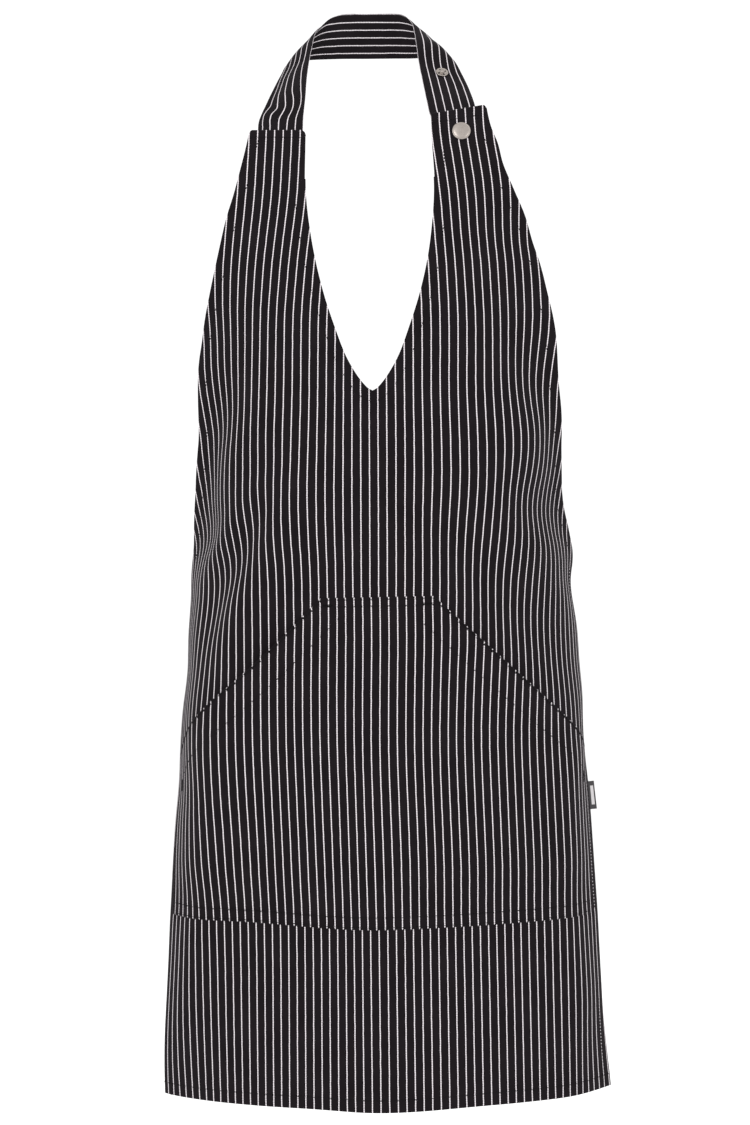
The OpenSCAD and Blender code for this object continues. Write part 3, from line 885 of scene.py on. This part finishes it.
# A soft ridge of the same part: its height by distance from the tab, and its shape across.
LEFT_RIDGE = [(8, 0), (20, 1.5), (30, 3), (60, 3), (76, 2), (96, 0)]
RIDGE_SHAPE = [(0, 0), (0.17, 0.7), (0.35, 1), (0.53, 0.85), (0.70, 0.2), (0.88, -0.35), (1, 0)]
# How far the band rounds out between its edges, by pair, from the left tab to the right one, as a
# separate fitting script found it.
SHOULDER = [(4, 0), (5, 0), (6, 3.5), (7, 1.7), (8, -0.6), (9, 0), (10, 0), (12, 0), (13, -0.4),
            (14, 5.4), (15, 4.8), (16, 7), (17, -0.4), (18, 0), (19, 0)]


def behind_tab(x, z, back):
    """A point of the strap behind a tab, that far back from the middle of the panel."""
    drop = -TAB_DROP - z
    return (x, float(along(FRONT_DEPTH, drop)) + back, z)


def strap_edges():
    """The strap's two edges, from behind the left tab round the neck to behind the right one."""
    sewn, snapped = 2.2, 5.3
    left = [(behind_tab(-59.5, -122, sewn), behind_tab(-101, -119, sewn)),
            (behind_tab(-61, -132, sewn), behind_tab(-103, -132, sewn))]
    right = [(behind_tab(58.5, -105, snapped), behind_tab(101.5, -103, snapped)),
             (behind_tab(61, -126, snapped), behind_tab(103, -125, snapped)),
             (behind_tab(62, -150, snapped), behind_tab(104, -150, snapped))]
    pairs = left[::-1] + list(zip(STRAP_LEFT_TOP, STRAP_LEFT_LOW))[::-1] + [STRAP_BACK]
    pairs += list(zip(STRAP_RIGHT_TOP, STRAP_RIGHT_LOW)) + right
    return [smooth_path([pair[k] for pair in pairs], STRAP_STEPS) for k in (0, 1)]


def make_strap(material):
    top, low = strap_edges()
    run = distances(top)
    from_tab = run - run[int(1.6 * STRAP_STEPS)]
    rows = np.array([[0, *shares, 100] for distance, shares in LEFT_CROWD]) / 100
    marks = [distance for distance, shares in LEFT_CROWD]
    placed = np.stack([along(np.stack([marks, column], 1), from_tab) for column in rows.T], 1)
    actual = np.linalg.norm(low - top, axis=1)
    at_back = ease((62 - np.abs(top[:, 0] + low[:, 0]) / 2) / 14)

    def share(stations, f):
        """Across the back the stripes keep their distance from the lower edge."""
        level = 1 - (1 - f) * STRAP_WIDTH / actual[:, None]
        level = np.where(level < 0.05, 0.05 * np.exp((level - 0.05) / 0.05), level) * (f > 0)
        even = np.array(STRIPE_SHARES) / 100
        crowded = np.array([along(np.stack([even, row], 1), f[0]) for row in placed])
        weight = at_back[:, None]
        return crowded * (1 - weight) + level * weight

    def bow(stations, f):
        rounding = along(SHOULDER, stations / STRAP_STEPS) * np.sin(np.pi * f)
        return along(LEFT_RIDGE, from_tab)[:, None] * along(RIDGE_SHAPE, f) + rounding

    return band("neck_strap_cloth", top, low, STRAP_THICK, material, STRAP_WIDTH * 1.033, share, bow)


def strap_point(pair, f):
    """A point of the right part of the strap and the direction that its outer face looks in."""
    top, low = strap_edges()
    i = int(round((2 + len(STRAP_LEFT_TOP) + pair) * STRAP_STEPS))
    run = unit(top[i + 1] + low[i + 1] - top[i - 1] - low[i - 1])
    normal = unit(np.cross(low[i] - top[i], run))
    if normal[1] > 0:
        normal = -normal
    return top[i] * (1 - f) + low[i] * f, normal


# ---------- waist ties and bow

TIE_WIDTH = 28
TIE_THICK = 1.4
TIE_LEVEL = 402
TIE_ROOT = 226
WAIST_BACK = 60
SIDE_X, SIDE_Y = 177.95, -45.6
TIE_STOP = {-1: 0.9515, 1: 0.9483}
KNOT = (0, 62, -TAB_DROP - TIE_LEVEL)
LOOP_REACH = 84
END_LENGTH = 230


def tie_band(kind, side, first, second, material, bow):
    return band(f"{kind}_{word(side)}_cloth", first, second, TIE_THICK, material, TIE_WIDTH, bow=bow)


def make_waist_tie(side, material):
    """From under the side hem, round the wearer's waist to the knot."""
    stop = TIE_STOP[side]
    t = np.linspace(0, stop, 60)
    centre = SIDE_Y + 12
    x = (SIDE_X - 1) * np.cos(np.pi / 2 * t)
    y = centre + (WAIST_BACK - centre) * np.sin(np.pi / 2 * t)
    w = ease(t / 0.16)
    x, y = x * w + (SIDE_X - 4) * (1 - w), y * w + (SIDE_Y + 1.5 + 90 * t) * (1 - w)
    middle = np.stack([side * x, y, KNOT[2] - 3.5 * np.sin(np.pi * t / stop)], 1)
    done = t / stop
    tilt = 0.05 * np.sin(done * 9 + side) * ease(done * 3)
    up = np.stack([side * 0.4 * tilt, tilt, np.ones_like(tilt)], 1)
    half = TIE_WIDTH / 2 * (1 - 0.42 * ease((done - 0.80) / 0.2))[:, None] * unit(up)
    edges = []
    for way in (1, -1):
        sewn = place(side * np.array([206, 212, 218, 223]), TIE_LEVEL - way * TIE_WIDTH / 2, -1.8) / MM
        free = middle + way * half
        free = free + (sewn[-1] - free[0]) * (1 - ease(t / 0.22))[:, None]
        edges.append(smooth_path(np.concatenate([sewn, free[1:]])[::2], 3))
    run = np.linspace(0, 1, len(edges[0]))[:, None]

    def bow(stations, f):
        near_knot = 1.6 * ease((run - 0.72) / 0.25) * np.sin(2 * np.pi * (2 * f + 0.1))
        return near_knot + 0.9 * np.sin(np.pi * f) * np.sin(14 * run + 2 * side) * ease(run * 8)

    return tie_band("waist_tie", side, *edges, material, bow)


def make_bow_loop(side, material):
    """One loop of the bow, out from the knot and back."""
    a = np.radians(np.linspace(9, 351, 64))
    x = 15 + LOOP_REACH * (1 - np.cos(a)) / 2
    y = 4.9 * np.sin(a) * (1.15 - 0.5 * np.cos(a))
    droop = math.radians(12)
    drop = -x * math.sin(droop)
    middle = np.stack([side * x * math.cos(droop), KNOT[1] + 7 + y, KNOT[2] + drop], 1)
    away = (1 - np.cos(a)) / 2
    half = (TIE_WIDTH / 2 - 1) * (0.45 + 0.55 * ease(away * 2.4))
    lean = np.radians(10 * np.sin(a))
    level = np.cos(lean)
    up = np.stack([side * math.sin(droop) * level, np.sin(lean) * 0.4, math.cos(droop) * level], 1)

    def bow(stations, f):
        s = away[:, None]
        gathers = 1.1 * (1 - ease(s * 2.2)) * np.sin(2 * np.pi * (1.5 * f + 0.2))
        return gathers + 0.5 * np.sin(np.pi * f) * np.sin(9 * s)

    reach = half[:, None] * unit(up)
    return tie_band("bow_loop", side, middle + reach, middle - reach, material, bow)


def make_tie_end(side, material):
    """The free end of a tie, from under the knot down the back."""
    t = np.linspace(0, 1, 60)
    gathered = 1 - ease(t / 0.08)
    x = side * (10 + 32 * t + 10 * np.sin(np.radians(150 * t)) + 2.5 * gathered)
    y = KNOT[1] + 6 - 22 * ease(t * 1.3) - (3 if side > 0 else 0)
    z = KNOT[2] - 19 - END_LENGTH * t + 10 * gathered
    middle = np.stack([x, y, z], 1)
    half = TIE_WIDTH * (0.24 + 0.25 * ease(3 * t)) - 3.5 * gathered
    turn = np.radians(14 * np.sin(4.4 * t + side))
    out = np.stack([np.cos(turn), np.sin(turn) * 0.6, 0.07 * side + 0 * t], 1)

    def bow(stations, f):
        s = t[:, None]
        gathers = 1.4 * (1 - ease(s * 4)) * np.sin(2 * np.pi * (1.5 * f))
        return gathers + 1.3 * np.sin(np.pi * f) * np.sin(8 * s + side)

    reach = half[:, None] * unit(out)
    return tie_band("tie_end", side, middle - reach, middle + reach, material, bow)


def make_knot(material):
    """The band pulled over the middle of the bow, gathered into folds."""
    turns, rings = 72, 40

    def squared(value, power):
        return math.copysign(abs(value) ** power, value)

    points, grain = [], []
    for j in range(rings + 1):
        b = math.pi * (j / rings - 0.5)
        for k in range(turns):
            a = 2 * math.pi * k / turns
            fold = 1 + 0.045 * math.cos(5 * a + 0.8) * math.cos(b) + 0.03 * math.sin(3 * a + 2 * b)
            reach = squared(math.cos(b), 0.75) * fold
            x = 12.2 * squared(math.cos(a), 0.8) * reach * (1 - 0.10 * math.cos(b) ** 2)
            y = 7.4 * squared(math.sin(a), 0.8) * reach
            points.append((x, KNOT[1] + y, KNOT[2] + 12.6 * squared(math.sin(b), 0.75)))
            grain.append((14 * math.cos(a), 16 * b + 3 * math.sin(a)))
    faces = grid_faces(rings + 1, turns, 0, closed=True)
    obj = make_object("tie_knot_cloth", np.array(points) * MM, faces, grain, material)
    weld(obj)
    return obj


# ---------- side label

LABEL_DROP = 617
LABEL_ACROSS = 229.6
LABEL_HEIGHT = 26
LABEL_FOLD = 9.8
LABEL_REACH = 7.6
LABEL_TURN = math.radians(32)
LABEL_OUT = np.array([math.cos(LABEL_TURN), math.sin(LABEL_TURN), 0])
# Section of the folded tape: how far out, how far aside, and the length of tape to there.
LABEL_SECTION = [(-1.5, 0.42, 0), (2, 0.42, 3.5), (5, 0.46, 6.5), (LABEL_REACH - 0.6, 0.5, 9),
                 (LABEL_REACH, 0.25, 9.6), (LABEL_REACH, -0.25, 10), (LABEL_REACH - 0.6, -0.5, 10.6),
                 (5, -0.46, 13), (2, -0.42, 16), (-1.5, -0.42, 19)]


def make_label(material):
    """A folded tape caught in the right side hem."""
    drops = LABEL_DROP + np.linspace(-LABEL_HEIGHT / 2, LABEL_HEIGHT / 2, 15)
    side = np.array([-LABEL_OUT[1], LABEL_OUT[0], 0])
    out, aside, length = np.array(LABEL_SECTION).T[..., None]
    points, grain = [], []
    for n, d in enumerate(drops):
        root = place(LABEL_ACROSS, d).ravel() / MM
        curl = 0.5 * math.sin(n / 4.5 + 1)
        points.append(root + LABEL_OUT * out + side * (aside + curl * (out / 8) ** 2))
        grain.append(np.hstack([length, d - drops[0] + 0 * length]))
    faces = grid_faces(len(drops), len(LABEL_SECTION))
    obj = make_object("side_label_tape", np.array(points) * MM, faces, grain, material)
    thicken(obj, 0.28)
    return obj


# ---------- press studs


def square_to(axis):
    """Two directions square to an axis and to each other."""
    side = unit(np.cross(axis, (0, 0, 1)))
    return side, np.cross(axis, side)


def turned_part(name, centre, axis, profile, material, sides=56):
    """A turned part: radius and height of its outline, in millimetres, about an axis."""
    side, up = square_to(axis)
    points, grain = [], []
    for radius, height in profile:
        for k in range(sides):
            a = 2 * math.pi * k / sides
            spoke = math.cos(a) * side + math.sin(a) * up
            points.append(centre + MM * (radius * spoke + height * axis))
            grain.append((radius * a, height))
    faces = grid_faces(len(profile), sides, 0, closed=True)
    faces.append(tuple(reversed(range(sides))))
    faces.append(tuple((len(profile) - 1) * sides + k for k in range(sides)))
    obj = make_object(name, points, faces, grain, material)
    obj.data.polygons.foreach_set("use_smooth", [len(p.vertices) == 4 for p in obj.data.polygons])
    return obj


SNAP_TILT = math.atan2(15.8, 66)
SNAP_AXIS = np.array([0, -math.cos(SNAP_TILT), math.sin(SNAP_TILT)])
SNAP_DEPTH, SNAP_HEIGHT = -0.11604, -0.119


def snap_centre():
    """Where the press stud's axis passes through the cloth of the right tab."""
    low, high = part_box("snap_cap")
    return np.array([(low[0] + high[0]) / 2, SNAP_DEPTH, SNAP_HEIGHT])


def make_cap(material):
    """The domed cap, with a rolled rim round it."""
    rim = [(7.4, 0.85), (8.2, 0.95), (8.5, 1.2), (8.5, 1.6), (8.3, 1.95), (7.95, 2.1), (7.6, 2.04),
           (7.4, 1.96)]
    angles = [math.radians(9 * k) for k in range(1, 10)]
    dome = [(7.15 * math.cos(a), 2.0 + 0.95 * math.sin(a)) for a in angles]
    base = snap_centre() - 0.7 * MM * SNAP_AXIS
    return turned_part("snap_cap_metal", base, SNAP_AXIS, rim + dome + [(0.25, 2.95)], material)


STUD_PROFILE = [(5.2, 0), (5.8, 0.08), (6.0, 0.35), (5.9, 0.72), (5.5, 0.92), (5.0, 0.86), (4.6, 0.55),
                (4.3, 0.42), (2.5, 0.42), (2.25, 0.55), (2.1, 0.9), (2.25, 1.3), (2.3, 1.6), (2.1, 1.85),
                (1.6, 1.98), (0.2, 2.0)]
# Outline of each dark piece of painted shade that sits in a stud's slot, and how far the four are turned.
SLOT_OUTLINE = [(2.0, -0.5), (2.4, -0.75), (4.3, -0.6), (4.5, 0.0), (4.3, 0.6), (2.4, 0.75), (2.0, 0.5)]
SLOT_TURN = 0.4


def make_slot_shade(name, centre, axis, material):
    """Four shallow dark pieces round the middle of a stud: painted shade in its slots."""
    side, up = square_to(axis)
    corners = len(SLOT_OUTLINE)
    points, faces = [], []
    for k in range(4):
        angle = math.pi * k / 2 + SLOT_TURN
        spoke = math.cos(angle) * side + math.sin(angle) * up
        cross = np.cross(axis, spoke)
        first = len(points)
        for height in (0.3, 0.5):
            for out, aside in SLOT_OUTLINE:
                points.append(centre + MM * (spoke * out + cross * aside + axis * height))
        faces += grid_faces(2, corners, first, closed=True)
        faces.append(tuple(reversed(range(first, first + corners))))
        faces.append(tuple(range(first + corners, first + 2 * corners)))
    return make_object(name, points, faces, np.zeros((len(points), 2)), material)


def make_studs(metal, dark):
    """The engaged stud behind the tab and the spare one up the strap, each with four dark pieces of painted
    slot shade.
    """
    spare, outwards = strap_point(6 + 1 / 3, 0.5)
    seats = {
        "stud_engaged": (snap_centre() - SNAP_AXIS * 5.0 * MM, SNAP_AXIS),
        "stud_spare": ((spare + outwards * (STRAP_THICK / 2 + 0.1)) * MM, outwards),
    }
    parts = []
    for name, (centre, axis) in seats.items():
        parts.append(turned_part(name, centre, axis, STUD_PROFILE, metal))
        # The dark thread-coloured pieces paint the shade in the stud's slots.
        parts.append(make_slot_shade(name + "_slot_shade", centre, axis, dark))
    return parts


# ---------- build


def panel_area():
    """Flat area of the front panel's cut, with its hems, in square metres."""
    drops = np.arange(-10, BODY_LENGTH, 2.0)
    sides = sum(np.sum(half_out(drops, side) - half_in(drops) + HEM) * 2.0 for side in (-1, 1))
    return float(sides + 2 * half_out(BODY_LENGTH, 1) * HEM) * MM ** 2


def fit(piece, body=None, node=None):
    """Hides the CAD node that a piece stands for and hangs the piece on the body that carries it."""
    if node:
        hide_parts(node)
    if body:
        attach(piece, body)
    return piece


make_camera()
make_studio()
cloth = striped_cloth()
thread = black_thread()
nickel = satin_nickel()
tape = plain_tape()

cap = fit(make_cap(nickel), "apron", "snap_cap")
body_stitches = stitch_rows("body_stitching", body_seams(), front_seam, thread)
fit(body_stitches, "apron")
pocket_stitches = stitch_rows("pocket_stitching", pocket_seams(), pocket_seam, thread)
fit(pocket_stitches, "apron")
bars = fit(make_bartacks(thread), "apron", "pocket_bartacks")
studs = make_studs(nickel, thread)
for stud in studs:
    fit(stud, "strap")
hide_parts("strap_studs")
for node in ("snap_socket", "stud_backs"):
    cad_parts[node].data.materials.clear()
    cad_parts[node].data.materials.append(nickel)

strap = fit(make_strap(cloth), node="neck_strap")
front = fit(make_front(cloth), "apron", "front_panel")
panel_area()
pocket = fit(make_pocket(cloth), "apron", "pocket_panel")
for side in (-1, 1):
    facing = fit(make_neck_facing(side, cloth), "apron", f"neck_facing_{word(side)}")
    facing = fit(make_pocket_facing(side, cloth), "apron", f"pocket_facing_{word(side)}")
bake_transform(strap)

knot = fit(make_knot(cloth), "tie_left", "tie_knot")
for side in (-1, 1):
    body = f"tie_{word(side)}"
    tie = fit(make_waist_tie(side, cloth), node=f"waist_tie_{word(side)}")
    start = place(side * TIE_ROOT, TIE_LEVEL).ravel()
    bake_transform(tie)
    loop = fit(make_bow_loop(side, cloth), body, f"bow_loop_{word(side)}")
    end = fit(make_tie_end(side, cloth), body, f"tie_end_{word(side)}")
label = fit(make_label(tape), node="side_label")
root = place(LABEL_ACROSS, LABEL_DROP).ravel()
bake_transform(label)
